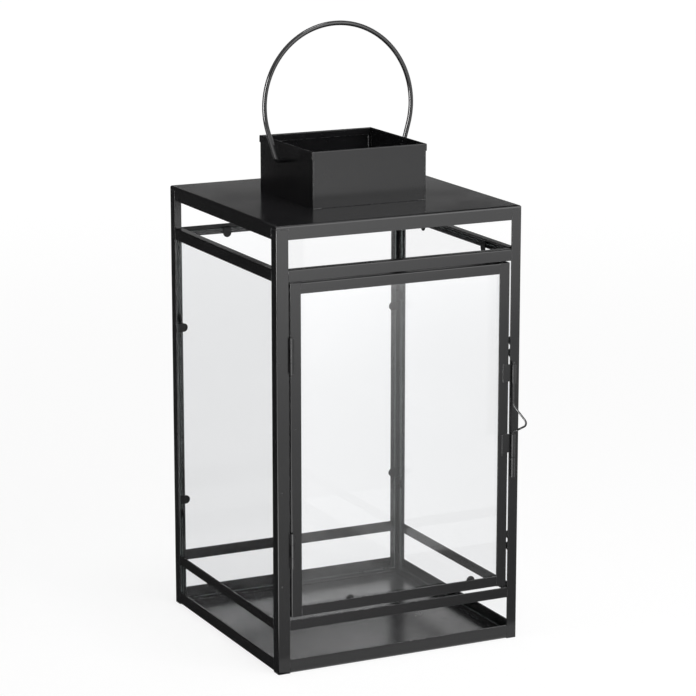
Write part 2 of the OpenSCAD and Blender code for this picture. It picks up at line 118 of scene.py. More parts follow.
# Scale, detail and roughness of each noise
CLOUDS = (19.0, 3.0, 0.55)
BLOTCHES = (110.0, 2.0, 0.6)
CHAFING = (240.0, 3.0, 0.6)
ORANGE_PEEL = (900.0, 2.0, 0.45)
PORES = (2300.0, 1.0, 0.5)
WELD_RIPPLES = (1500.0, 3.0, 0.6)
WELD_PITS = (700.0, 2.0, 0.5)
WIPES = (1.0, 3.0, 0.5)
MIDDLE = 0.5

# The coat: its paler clouds, the share of dust, and what each adds to the roughness
PALE_GAIN, PALE_SHARE, DUST_SHARE = 1.5, 0.35, 0.04
CLOUD_ROUGH, BLOTCH_ROUGH, THIN_ROUGH = 0.06, 0.03, 0.12

# The coat over a weld: its thin paint, lightened as painted glints, and its roughness in and beside
# the pits
WELD_THIN_AND_GLINT, WELD_SMOOTH, WELD_PITTED = 0.7, 0.17, 0.16

# The glass: how wipe marks stretch and turn, and what mirrors beside its faces
WIPE_STRETCH, WIPE_TURN = (9.0, 9.0, 30.0), (0.5, 0.3, 0.2)
GRAZING_MIRROR, WIPE_HAZE, RIM_SHARE, RIM_ROUGH = 0.9, 0.006, 0.3, 0.25


# ---------- Fixed sizes, in metres ----------

SHARP_ANGLE, FLAT_ANGLE = math.radians(60), math.radians(0.4)
MERGE_DISTANCE = 1e-6
# A slanted direction that keeps the points of a wire apart
SORTING = Vector((1.0, 1.7321, 2.2361))
DUST_FALLOFF = 4

# The ring: how far its pins reach into the collar, and its cut ends
PIN_REACH, RING_CUT, RING_MISFIT = 0.0055, 0.0006, 0.0003

# The bolt: the corners of its bow down from its top, their bends, and its cut ends
BOW_FOOT, BOW_TIP, BOW_HEAD = 0.068, 0.058, 0.0419
BOW_BENDS, BOW_STEPS = (0.003, 0.004, 0.008), (8, 12, 10)
BOLT_CUT = 0.0004
# From the keeper's latch-side and front faces to the middle of its barrel
KEEPER_AXIS = 0.00202

# Radii of the weld beads and tacks
SEAM_BEAD, FLOOR_BEAD, GUIDE_BEAD, TACK = 0.0008, 0.0007, 0.0006, 0.0009
# The collar's corner seams: in from its outside faces, lower and upper end above the roof
SEAM_INSET, SEAM_START, SEAM_END = 0.0012, 0.0008, 0.0445
# Beads along the collar's front foot: in from its side, out from its face, up, length
FOOT_IN, FOOT_OUT, FOOT_UP, FOOT_RUN = 0.0002, 0.0001, 0.0002, 0.007
# Beads on the floor sheet at the back: past a post's width, in from the back, up
FLOOR_SIDE, FLOOR_IN, FLOOR_UP = 0.1, 0.0022, 0.0034
# and where each of the two begins and ends from there
FLOOR_RUNS = ((0.0, 0.006), (0.03, 0.034))
# Tacks on the front left post, as X and Z
POST_TACKS = ((-0.123, 0.294), (-0.1208, 0.173), (-0.1208, 0.084))
# The hinge stile's tack: in from its edge, and its height
STILE_TACK_IN, STILE_TACK_UP = 0.0045, 0.231
# The bolt guides' beads stop this short of each end
GUIDE_MARGIN = 0.001
# A puddle: its pitch, size and swell as shares of the bead's radius
PUDDLE_PITCH, PUDDLE_SIZE, PUDDLE_SWELL = 0.9, 0.95, 0.15
TACK_HEIGHT = 0.3


# ---------- The photograph's camera and the studio ----------

CAMERA_PLACE, CAMERA_AIM = (-1.157, -2.378, 0.8774), (0.00595, 0, 0.2707)
CAMERA_LENS, CAMERA_SENSOR, CAMERA_REACH = 146.883, 36, 60

# The studio floor: half its side, and its white's share, level and rise with distance
STUDIO_HALF = 14
FLOOR_SHARE, FLOOR_LEVEL, FLOOR_RISE = 0.72, 1.15, 0.14
# The curved screen behind: where it starts, how far it turns, its height
SCREEN_START, SCREEN_TURN, SCREEN_STEPS = (1.45, 0.68, 0.001), math.radians(98), 40
SCREEN_HEIGHT, SCREEN_LEVEL = 2.4, 1.12
# Its grey from the floor up, and the front sheet's from the lantern outwards
SCREEN_GREYS = ((0.0, 1.0), (0.2, 0.96), (0.24, 0.78), (0.26, 0.28), (0.28, 0.09), (0.29, 0.05),
                (0.3, 0.04), (0.46, 0.03))
SHEET_GREYS = ((0.0, 0.24), (0.06, 0.29), (0.17, 0.4), (0.32, 0.5), (0.51, 0.79), (0.71, 1.0),
               (1.0, 1.0))
SHEET_LENGTH, SHEET_LEVEL = 3, 2.5
# How much dimmer the sheet is on its right, near the lantern, and how much less so far away
SHEET_FALL, SHEET_EASE = 0.42, 0.27
# How much the cloth before the back rails takes away
RAIL_FLAG_DEPTH = 0.85
# Half the body's depth, and the heading of a mirrored line of sight over the floor
FRONT, ACROSS, ALONG = 0.1225, 0.886, 0.435


# ---------- Sizes and colours that a user would change ----------

class LanternPaint(bpy.types.PropertyGroup):
    colour: FloatVectorProperty(
        name="Paint colour", description="Colour of the black powder coat",
        subtype="COLOR", size=3, min=0, max=1, default=(0.0095, 0.0095, 0.0102))
    dust_colour: FloatVectorProperty(
        name="Dust colour", description="Colour of the film of dust on flat faces",
        subtype="COLOR", size=3, min=0, max=1, default=(0.05, 0.048, 0.045))
    # The thin paint colour is lighter than worn paint alone would be, so that it also paints the
    # highlights along edges.
    thin_paint_and_highlight_colour: FloatVectorProperty(
        name="Thin paint and edge highlight colour", description="Colour where the paint pulls thin along an edge",
        subtype="COLOR", size=3, min=0, max=1, default=(0.07, 0.07, 0.073))
    roughness: FloatProperty(
        name="Roughness", description="Roughness of the cured coat",
        subtype="FACTOR", min=0, max=1, default=0.16)
    peel: FloatProperty(
        name="Orange peel", description="Height of the coat's orange peel",
        subtype="DISTANCE", unit="LENGTH", min=0, max=0.0002, default=0.000012)


class LanternSheet(bpy.types.PropertyGroup):
    edge: FloatProperty(
        name="Sheared edge", description="Radius that paint gives a sheared sheet edge",
        subtype="DISTANCE", unit="LENGTH", min=0.00005, max=0.0004, default=0.00025)
    small_edge: FloatProperty(
        name="Small edge", description="Edge radius on clips, hinges, bolt guides and keeper",
        subtype="DISTANCE", unit="LENGTH", min=0.00003, max=0.0003, default=0.00013)
    segments: IntProperty(
        name="Edge segments", description="Faces across a rounded edge", min=1, max=6, default=3)


class LanternRing(bpy.types.PropertyGroup):
    wire: FloatProperty(
        name="Ring wire", description="Diameter of the ring's wire",
        subtype="DISTANCE", unit="LENGTH", min=0.003, max=0.006, default=0.0045)
    radius: FloatProperty(
        name="Ring radius", description="Radius to the middle of the wire",
        subtype="DISTANCE", unit="LENGTH", min=0.06, max=0.09, default=0.0762)
    rise: FloatProperty(
        name="Ring rise", description="Height of the ring's centre above its pivots",
        subtype="DISTANCE", unit="LENGTH", min=0.03, max=0.07, default=0.0484)
    offset: FloatProperty(
        name="Ring offset", description="Sideways offset from the middle of the collar",
        subtype="DISTANCE", unit="LENGTH", min=-0.005, max=0.005, default=-0.0027)
    bend: FloatProperty(
        name="Leg bend", description="Bend radius between a leg and its pivot pin",
        subtype="DISTANCE", unit="LENGTH", min=0.003, max=0.006, default=0.004)
    tilt: FloatProperty(
        name="Leg tilt", description="How far the legs spread from upright",
        subtype="ANGLE", unit="ROTATION", min=0, max=0.6, default=math.radians(17))
    lean: FloatProperty(
        name="Lean", description="Backward lean of the ring at rest",
        subtype="ANGLE", unit="ROTATION", min=0, max=0.2, default=math.radians(2.9))


class LanternBolt(bpy.types.PropertyGroup):
    wire: FloatProperty(
        name="Bolt wire", description="Diameter of the bolt's wire",
        subtype="DISTANCE", unit="LENGTH", min=0.0015, max=0.0025, default=0.0019)
    reach: FloatProperty(
        name="Bow reach", description="How far the corner of the finger bow stands out",
        subtype="DISTANCE", unit="LENGTH", min=0.014, max=0.02, default=0.017)
    turn: FloatProperty(
        name="Bow turn", description="Direction of the bow, from the latch side to the front",
        subtype="ANGLE", unit="ROTATION", min=0.8, max=1.4, default=math.radians(63))


class LanternGlass(bpy.types.PropertyGroup):
    # These tints and mirrors differ only to change how light the panes render: the near panes'
    # extra mirror is painted reflection, the far panes' darker tint painted shade.
    tint: FloatVectorProperty(
        name="Near pane tint", description="Colour of the door and left panes through their faces",
        subtype="COLOR", size=3, min=0, max=1, default=(0.981, 0.983, 0.985))
    far_tint: FloatVectorProperty(
        name="Far pane tint", description="Colour of the back and right panes through their faces",
        subtype="COLOR", size=3, min=0, max=1, default=(0.975, 0.977, 0.98))
    mirror: FloatProperty(
        name="Near pane mirror", description="What the door and left panes mirror straight on",
        subtype="FACTOR", min=0, max=1, default=0.05)
    far_mirror: FloatProperty(
        name="Far pane mirror", description="What the back and right panes mirror straight on",
        subtype="FACTOR", min=0, max=1, default=0.02)
    rim_tint: FloatVectorProperty(
        name="Rim tint", description="Colour of the glass at its cut edge",
        subtype="COLOR", size=3, min=0, max=1, default=(0.62, 0.72, 0.69))
    arris: FloatProperty(
        name="Arris", description="Width of the ground arris on the cut edge",
        subtype="DISTANCE", unit="LENGTH", min=0.0001, max=0.0006, default=0.0003)


class LanternStage(bpy.types.PropertyGroup):
    floor_colour: FloatVectorProperty(
        name="Floor colour", description="Colour of the studio floor",
        subtype="COLOR", size=3, min=0, max=1, default=(0.8, 0.8, 0.8))
    key: FloatProperty(
        name="Key light", description="Power of the soft box at the front right",
        subtype="POWER", unit="POWER", min=0, max=100, default=13)
    top: FloatProperty(
        name="Top light", description="Power of the soft box overhead",
        subtype="POWER", unit="POWER", min=0, max=100, default=10)
    ambient: FloatProperty(
        name="Ambient", description="Strength of the room light on the object",
        min=0, max=1, default=0.35)


# ---------- Materials ----------

class Reading:
    """A node's output that takes part in Python arithmetic."""

    def __init__(self, finish, socket):
        self.finish = finish
        self.socket = socket

    def maths(self, operation, first, second):
        return self.finish.node("ShaderNodeMath", {"operation": operation}, {0: first, 1: second})

    def __add__(self, other):
        return self.maths("ADD", self, other)

    __radd__ = __add__

    def __sub__(self, other):
        return self.maths("SUBTRACT", self, other)

    def __rsub__(self, other):
        return self.maths("SUBTRACT", other, self)

    def __mul__(self, other):
        return self.maths("MULTIPLY", self, other)

    __rmul__ = __mul__


class Finish:
    """The nodes of one material, or of the room."""

    def __init__(self, name, library="materials"):
        self.owner = getattr(bpy.data, library).new(name)
        self.owner.use_nodes = True
        self.tree = self.owner.node_tree
        self.tree.nodes.clear()

    def node(self, kind, settings=None, inputs=None, output=0):
        """Adds a node with its settings, then its values and links, and reads one output."""
        made = self.tree.nodes.new(kind)
        for name, value in (settings or {}).items():
            if name == "stops":
                ramp = made.color_ramp.elements
                while len(ramp) < len(value):
                    ramp.new(1)
                for stop, (place, colour) in zip(ramp, value):
                    stop.position = place
                    stop.color = (*colour, 1)
            else:
                setattr(made, name, value)
        for name, value in (inputs or {}).items():
            if isinstance(value, Reading):
                self.tree.links.new(value.socket, made.inputs[name])
            else:
                made.inputs[name].default_value = value
        return Reading(self, made.outputs[output])

    def place(self):
        """Where a point lies in the frame, in metres."""
        return self.node("ShaderNodeTexCoord", output="Object")

    def along(self, axis):
        return self.node("ShaderNodeSeparateXYZ", None, {"Vector": self.place()}, axis)

    def noise(self, scale, detail, roughness, place=None):
        return self.node("ShaderNodeTexNoise", {"noise_dimensions": "3D"}, {
            "Vector": place or self.place(), "Scale": scale, "Detail": detail,
            "Roughness": roughness}, "Fac")

    def mask(self, reading, low, high):
        """Nought at low, one at high, smooth between."""
        return self.node("ShaderNodeMapRange", {"interpolation_type": "SMOOTHSTEP"},
                         {"Value": reading, "From Min": low, "From Max": high}, "Result")

    def painted(self, name):
        """A layer that the mesh carries."""
        return self.node("ShaderNodeAttribute", {"attribute_type": "GEOMETRY",
                                                 "attribute_name": name}, output="Fac")

    def mix(self, share, first, second):
        colours = [c if isinstance(c, Reading) else (*c, 1) for c in (first, second)]
        return self.node("ShaderNodeMix", {"data_type": "RGBA"},
                         {0: share, 6: colours[0], 7: colours[1]}, 2)

    def bump(self, height, distance, strength, under=None):
        inputs = {"Height": height, "Distance": distance, "Strength": strength}
        if under:
            inputs["Normal"] = under
        return self.node("ShaderNodeBump", None, inputs, "Normal")

    def greys(self, reading, stops):
        return self.node("ShaderNodeValToRGB", {"stops": [(at, (v, v, v)) for at, v in stops]},
                         {"Fac": reading}, "Color")

    def glow(self, strength, colour=(1, 1, 1, 1)):
        return self.node("ShaderNodeEmission", None, {"Color": colour, "Strength": strength},
                         "Emission")

    def seen_rays(self):
        """One where a camera, glossy or transmission ray asks."""
        seen = [self.node("ShaderNodeLightPath", output=name)
                for name in ("Is Camera Ray", "Is Glossy Ray", "Is Transmission Ray")]
        return seen[0].maths("MAXIMUM", seen[0].maths("MAXIMUM", seen[0], seen[1]), seen[2])

    def blend(self, share, first, second):
        return self.node("ShaderNodeMixShader", None, {0: share, 1: first, 2: second})

    def surface(self, shader, output="ShaderNodeOutputMaterial"):
        """Joins the shader to the output and gives the finished material or world."""
        made = self.tree.nodes.new(output)
        self.tree.links.new(shader.socket, made.inputs["Surface"])
        return self.owner


def black_coat(name, added, peel_share, edge_wear_and_highlight, ior):
    """Satin black powder coat: clouded gloss, orange peel, dust on flats, thin paint on edges that
    is lightened as a painted edge highlight.
    """
    paint = bpy.context.scene.lantern_paint
    peel = peel_share * paint.peel
    coat = Finish(name)
    clouds = coat.noise(*CLOUDS)
    blotches = coat.noise(*BLOTCHES)

    # Thin paint on the edges, lightened to stand in for edge highlights: part wear, part painted
    # highlight.
    thin = coat.mask(coat.noise(*CHAFING), low=0.4, high=0.62) * coat.painted("edge") * edge_wear_and_highlight
    settled = coat.mask(clouds + 0.35 * blotches, low=0.5, high=0.9)
    film = settled * coat.painted("level") * DUST_SHARE
    shade = coat.mix(coat.mask(clouds, low=0.35, high=0.65) * PALE_SHARE, paint.colour,
                     [PALE_GAIN * c for c in paint.colour])
    shade = coat.mix(thin, shade, paint.thin_paint_and_highlight_colour)
    shade = coat.mix(film, shade, paint.dust_colour)

    uneven = (clouds - MIDDLE) * CLOUD_ROUGH + (blotches - MIDDLE) * BLOTCH_ROUGH
    rough = uneven + thin * THIN_ROUGH + film + (paint.roughness + added)
    waves = coat.bump(coat.noise(*ORANGE_PEEL), distance=peel, strength=0.5)
    skin = coat.bump(coat.noise(*PORES), distance=0.25 * peel, strength=0.35, under=waves)
    shader = coat.node("ShaderNodeBsdfPrincipled", None, {
        "Base Color": shade, "Roughness": rough, "IOR": ior, "Normal": skin}, "BSDF")
    return coat.surface(shader)


def weld_coat():
    """Powder coat over a weld bead: rippled and pitted, with its ripples lightened by thin paint as
    painted glints.
    """
    paint = bpy.context.scene.lantern_paint
    coat = Finish(WELD_COAT)
    ripples = coat.noise(*WELD_RIPPLES)
    pits = coat.noise(*WELD_PITS)
    # The lighter thin paint on the ripples stands in for glints: part thin paint, part painted
    # glint.
    shade = coat.mix(coat.mask(ripples, low=0.35, high=0.7) * WELD_THIN_AND_GLINT, paint.colour,
                     paint.thin_paint_and_highlight_colour)
    pitted = coat.bump(pits, distance=0.0003, strength=0.5)
    skin = coat.bump(ripples, distance=0.0001, strength=0.6, under=pitted)
    shader = coat.node("ShaderNodeBsdfPrincipled", None, {
        "Base Color": shade, "Roughness": WELD_SMOOTH + pits * WELD_PITTED, "IOR": 1.5,
        "Normal": skin}, "BSDF")
    return coat.surface(shader)


def clear_glass(name, tint, straight):
    """Clear float glass: lets light straight through, mirrors by angle, greener at its cut edge."""
    pane = Finish(name)
    rim = pane.painted("rim")
    stretch = pane.node("ShaderNodeMapping", None, {
        "Vector": pane.place(), "Scale": WIPE_STRETCH, "Rotation": WIPE_TURN}, "Vector")
    wipes = pane.mask(pane.noise(*WIPES, place=stretch), low=0.5, high=0.8)
    slant = pane.node("ShaderNodeLayerWeight", None, {"Blend": 0.5}, "Facing")
    steep = slant * slant * slant * slant
    mirror = steep * steep * GRAZING_MIRROR + straight
    share = mirror + wipes * WIPE_HAZE + rim * RIM_SHARE
    shade = pane.mix(rim, (1, 1, 1), bpy.context.scene.lantern_glass.rim_tint)
    face = pane.node("ShaderNodeBsdfPrincipled", None, {
        "Base Color": shade, "Metallic": 1 - rim, "Roughness": rim * RIM_ROUGH}, "BSDF")
    clear = pane.node("ShaderNodeBsdfTransparent", None, {"Color": (*tint, 1)}, "BSDF")
    return pane.surface(pane.blend(share, clear, face))


def material(name):
    """One of the lantern's finishes, made when it is first asked for."""
    glass = bpy.context.scene.lantern_glass
    found = bpy.data.materials.get(name)
    if found:
        return found
    if name in COATS:
        return black_coat(name, *COATS[name])
    if name == WELD_COAT:
        return weld_coat()
    # The near and far glass differ only as painted reflection on the near panes and painted shade
    # on the far panes.
    if name == NEAR_GLASS:
        return clear_glass(name, glass.tint, glass.mirror)
    if name == FAR_GLASS:
        return clear_glass(name, glass.far_tint, glass.far_mirror)
    raise ValueError(f"no finish named {name}")


# ---------- Finishes of the stage ----------

def room_finish(stage):
    """White room behind the lantern; a dimmer one lights it."""
    room = Finish("studio room", "worlds")
    white = {"Color": (1, 1, 1, 1), "Strength": 1.0}
    dim = {"Color": (1, 1, 1, 1), "Strength": stage.ambient}
    seen = room.node("ShaderNodeBackground", None, white, "Background")
    light = room.node("ShaderNodeBackground", None, dim, "Background")
    return room.surface(room.blend(room.seen_rays(), light, seen), "ShaderNodeOutputWorld")


def floor_finish(stage):
    """Pale floor that reads white where nothing shades it."""
    floor = Finish("studio floor")
    matt = floor.node("ShaderNodeBsdfDiffuse", None, {"Color": (*stage.floor_colour, 1)}, "BSDF")
    reach = floor.node("ShaderNodeVectorMath", {"operation": "LENGTH"}, {0: floor.place()}, "Value")
    white = floor.glow(floor.mask(reach, low=0.4, high=3.0) * FLOOR_RISE + FLOOR_LEVEL)
    return floor.surface(floor.blend(floor.seen_rays() * FLOOR_SHARE, matt, white))


def card_finish(name, level):
    card = Finish(name)
    return card.surface(card.glow(level))


def rail_flag_finish():
    """Grey cloth that fades out at its top and bottom."""
    flag = Finish("rail flag cloth")
    height = flag.along("Z")
    covered = flag.mask(height, low=0.195, high=0.23) - flag.mask(height, low=0.28, high=0.315)
    return flag.surface(flag.glow(1 - covered * RAIL_FLAG_DEPTH))


def sheet_finish():
    """Sheet on the floor before the lantern: brighter with distance, dimmer to the right."""
    sheet = Finish("graded sheet")
    away = sheet.along("Y") * -1 - FRONT
    side = sheet.mask(sheet.along("X") * ACROSS - away * ALONG, low=-0.11, high=0.13)
    fall = SHEET_FALL - sheet.mask(away, low=1.1, high=1.9) * SHEET_EASE
    reach = sheet.greys(away * (1 / SHEET_LENGTH), SHEET_GREYS)
    return sheet.surface(sheet.glow((1 - side * fall) * SHEET_LEVEL, reach))


def screen_finish():
    """Screen behind the lantern, bright at the floor and dark above."""
    screen = Finish("graded screen")
    shade = screen.greys(screen.along("Z") * (1 / SCREEN_HEIGHT), SCREEN_GREYS)
    return screen.surface(screen.glow(SCREEN_LEVEL, shade))


# ---------- Shared work on meshes ----------

def blank():
    """An empty mesh with the layers that the finishes read."""
    bm = bmesh.new()
    for name in ("edge", "level", "rim"):
        bm.faces.layers.float.new(name)
    return bm


def copied(node):
    """A merged copy of a CAD node's mesh, its flat faces whole again."""
    bm = blank()
    bm.from_mesh(frame["nodes"][node].data)
    bmesh.ops.remove_doubles(bm, verts=bm.verts, dist=MERGE_DISTANCE)
    bmesh.ops.dissolve_limit(bm, angle_limit=FLAT_ANGLE, verts=bm.verts, edges=bm.edges,
                             use_dissolve_boundaries=False, delimit=set())
    return bm


def mark(bm, name, faces):
    layer = bm.faces.layers.float[name]
    for face in faces:
        face[layer] = 1.0


def mark_level(bm):
    """Marks the faces that look up, where dust lies."""
    layer = bm.faces.layers.float["level"]
    for face in bm.faces:
        face.normal_update()
        face[layer] = max(0.0, face.normal.z) ** DUST_FALLOFF


def rounded(bm, width, segments):
    """Rounds the sharp edges and marks the new faces for the paint."""
    sharp = [e for e in bm.edges
             if len(e.link_faces) == 2 and e.calc_face_angle(0) > SHARP_ANGLE]
    made = bmesh.ops.bevel(bm, geom=sharp, offset=width, offset_type="OFFSET",
                           segments=segments, profile=0.5, affect="EDGES", material=-1,
                           clamp_overlap=True)
    mark(bm, "edge", made["faces"])


def finished(bm, name, finish, body, nodes=()):
    """Makes the piece, in its place, and gives it to its body."""
    mark_level(bm)
    mesh = bpy.data.meshes.new(name)
    bm.to_mesh(mesh)
    bm.free()
    mesh.shade_smooth()
    mesh.materials.append(material(finish))
    piece = bpy.data.objects.new(name, mesh)
    bpy.context.scene.collection.objects.link(piece)
    weighted = piece.modifiers.new("even shading", "WEIGHTED_NORMAL")
    weighted.keep_sharp = True
    weighted.weight = 60
    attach(piece, body)
    if nodes:
        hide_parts(*nodes)


def sheet_piece(node, body, finish=COAT, small=False):
    """A sheet metal part with its edges rounded by paint."""
    sheet = bpy.context.scene.lantern_sheet
    bm = copied(node)
    rounded(bm, sheet.small_edge if small else sheet.edge, sheet.segments)
    finished(bm, node + "_coated", finish, body, [node])


def once(elements):
    """Each element once, in the order met."""
    return list(dict.fromkeys(elements))


def put_in_order(bm):
    """Sorts a mesh by place, because spin leaves its elements in another order each run."""
    bm.verts.sort(key=lambda v: v.co.dot(SORTING))
    bm.edges.sort(key=lambda e: (e.verts[0].co + e.verts[1].co).dot(SORTING))
    bm.faces.sort(key=lambda f: f.calc_center_median().dot(SORTING))


class WireRun:
    """Round wire drawn from one end by straight runs and bends in the XZ plane."""

    def __init__(self, start, heading, radius, sides):
        self.bm = blank()
        self.at = Vector(start)
        self.heading = Vector(heading).normalized()
        turn = Z.rotation_difference(self.heading).to_matrix().to_4x4()
        made = bmesh.ops.create_circle(self.bm, segments=sides, radius=radius,
                                       matrix=Matrix.Translation(self.at) @ turn)
        self.loop = once(e for v in made["verts"] for e in v.link_edges)
        self.first = list(self.loop)

    def run(self, length, cuts=1):
        for _ in range(cuts):
            made = bmesh.ops.extrude_edge_only(self.bm, edges=self.loop)["geom"]
            verts = [g for g in made if isinstance(g, bmesh.types.BMVert)]
            bmesh.ops.translate(self.bm, vec=self.heading * (length / cuts), verts=verts)
            new = set(verts)
            self.loop = [g for g in made if isinstance(g, bmesh.types.BMEdge)
                         and g.verts[0] in new and g.verts[1] in new]
        self.at = self.at + self.heading * length

    def bend(self, radius, angle, steps):
        """Turns from Z towards X where the angle is positive."""
        axis = Y if angle > 0 else -Y
        centre = self.at + radius * axis.cross(self.heading)
        verts = once(v for e in self.loop for v in e.verts)
        made = bmesh.ops.spin(self.bm, geom=verts + self.loop, cent=centre, axis=axis,
                              angle=abs(angle), steps=steps, use_merge=False,
                              use_duplicate=False)["geom_last"]
        self.loop = [g for g in made if isinstance(g, bmesh.types.BMEdge)]
        turn = Matrix.Rotation(abs(angle), 3, axis)
        self.at = centre + turn @ (self.at - centre)
        self.heading = turn @ self.heading

    def closed(self, edge):
        """Fills both ends, breaks their edges and gives the finished mesh."""
        ends = []
        for loop in (self.first, self.loop):
            ends += bmesh.ops.edgeloop_fill(self.bm, edges=loop)["faces"]
        bmesh.ops.recalc_face_normals(self.bm, faces=self.bm.faces)
        rims = once(e for f in ends for e in f.edges)
        made = bmesh.ops.bevel(self.bm, geom=rims, offset=edge, offset_type="OFFSET", segments=3,
                               profile=0.5, affect="EDGES", material=-1)
        mark(self.bm, "edge", made["faces"])
        put_in_order(self.bm)
        return self.bm


def bead(bm, start, end, radius):
    """A weld bead: overlapping puddles from start to end."""
    run = end - start
    count = max(2, round(run.length / (PUDDLE_PITCH * radius)))
    for step in range(count + 1):
        wave = 1.9 * step + 900 * start.x
        size = radius * (PUDDLE_SIZE + PUDDLE_SWELL * math.sin(2.7 * step) * math.cos(wave))
        bmesh.ops.create_icosphere(bm, subdivisions=2, radius=size, matrix=Matrix.Translation(
            start + run * (step / count)))


def tack(bm, place, radius):
    """A spot weld's low dome on a front face."""
    bmesh.ops.create_icosphere(bm, subdivisions=3, radius=radius, matrix=(
        Matrix.Translation(place) @ Matrix.Diagonal((1.0, TACK_HEIGHT, 1.0, 1.0))))


# ---------- Operators for the pieces ----------

class LANTERN_OT_frame(bpy.types.Operator):
    """Coats the posts, rails, bars and the floor"""
    bl_idname = "lantern.frame"
    bl_label = "Frame"

    def execute(self, context):
        for node in POSTS + UPPER_RAILS + LOWER_BARS + BASE_RAILS:
            # The back and right upper rails get the dimmed coat: painted shade.
            sheet_piece(node, "lantern", DIMMED_COAT if node in DIM_RAILS else COAT)
        sheet_piece("floor_plate", "lantern", FLOOR_COAT)
        return {"FINISHED"}


class LANTERN_OT_roof(bpy.types.Operator):
    """Coats the roof and its folded edge"""
    bl_idname = "lantern.roof"
    bl_label = "Roof"

    def execute(self, context):
        sheet_piece("roof_cap", "lantern")
        return {"FINISHED"}


class LANTERN_OT_collar(bpy.types.Operator):
    """Coats the chimney collar's four hemmed walls"""
    bl_idname = "lantern.collar"
    bl_label = "Chimney collar"

    def execute(self, context):
        for node in COLLAR_WALLS:
            # The collar's coat mirrors less than the rest, so it renders darker: painted shade.
            sheet_piece(node, "lantern", COLLAR_COAT)
        return {"FINISHED"}


class LANTERN_OT_door(bpy.types.Operator):
    """Coats the door's stiles and rails"""
    bl_idname = "lantern.door"
    bl_label = "Door"

    def execute(self, context):
        for node in DOOR_SHEET:
            sheet_piece(node, "door")
        return {"FINISHED"}


class LANTERN_OT_fittings(bpy.types.Operator):
    """Coats the hinges, pane clips, bolt guides and keeper"""
    bl_idname = "lantern.fittings"
    bl_label = "Fittings"

    def execute(self, context):
        for node in FRAME_HINGES + HINGE_PINS + ("bolt_keeper",):
            sheet_piece(node, "lantern", FITTING_COAT, small=True)
        for node in FRAME_CLIPS:
            # The pane clips get the dimmed coat: painted shade.
            sheet_piece(node, "lantern", DIMMED_COAT, small=True)
        for node in DOOR_HINGES + GUIDES + ("door_clips",):
            sheet_piece(node, "door", FITTING_COAT, small=True)
        return {"FINISHED"}


class LANTERN_OT_panes(bpy.types.Operator):
    """Cuts the four panes with a ground arris"""
    bl_idname = "lantern.panes"
    bl_label = "Panes"

    def execute(self, context):
        glass = context.scene.lantern_glass
        for node, (body, finish) in PANES.items():
            bm = copied(node)
            rounded(bm, glass.arris, 1)
            broad = sorted(bm.faces, key=lambda f: f.calc_area())[-2:]
            mark(bm, "rim", [f for f in bm.faces if f not in broad])
            finished(bm, node + "_pane", finish, body, [node])
        return {"FINISHED"}


class LANTERN_OT_ring(bpy.types.Operator):
    """Bends the carrying ring from one length of wire"""
    bl_idname = "lantern.ring"
    bl_label = "Carrying ring"

    def execute(self, context):
        ring = context.scene.lantern_ring
        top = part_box("ring_handle")[1].z
        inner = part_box("collar_right")[1].x - PIN_REACH
        pivot = next(j for j in frame["joints"] if j["name"] == "ring_swing")["pos_m"][2]
        # Where the arc meets a leg, and where the leg's line meets the pivots' line
        end = (ring.radius * math.cos(ring.tilt),
               ring.rise - ring.radius * math.sin(ring.tilt))
        foot = end[0] - end[1] * math.tan(ring.tilt)
        turn = QUARTER - ring.tilt
        trim = ring.bend * math.tan(turn / 2)
        leg = math.hypot(end[0] - foot, end[1]) - trim

        wire = WireRun((-inner, 0, 0), -X, ring.wire / 2, sides=32)
        wire.run(foot - trim - ring.offset - inner)
        wire.bend(ring.bend, turn, steps=10)
        wire.run(leg, cuts=2)
        wire.bend(ring.radius, math.pi + 2 * ring.tilt, steps=150)
        wire.run(leg, cuts=2)
        wire.bend(ring.bend, turn, steps=10)
        wire.run(foot - trim + ring.offset - inner)
        bm = wire.closed(RING_CUT)
        place = Matrix.Translation((0, 0, pivot)) @ Matrix.Rotation(-ring.lean, 4, "X")
        bmesh.ops.transform(bm, matrix=place, verts=bm.verts)
        if abs(max(v.co.z for v in bm.verts) - top) > RING_MISFIT:
            raise RuntimeError("the ring's wire doesn't follow the frame's ring")
        finished(bm, "carrying_ring", WIRE_COAT, "ring", ["ring_handle"])
        return {"FINISHED"}


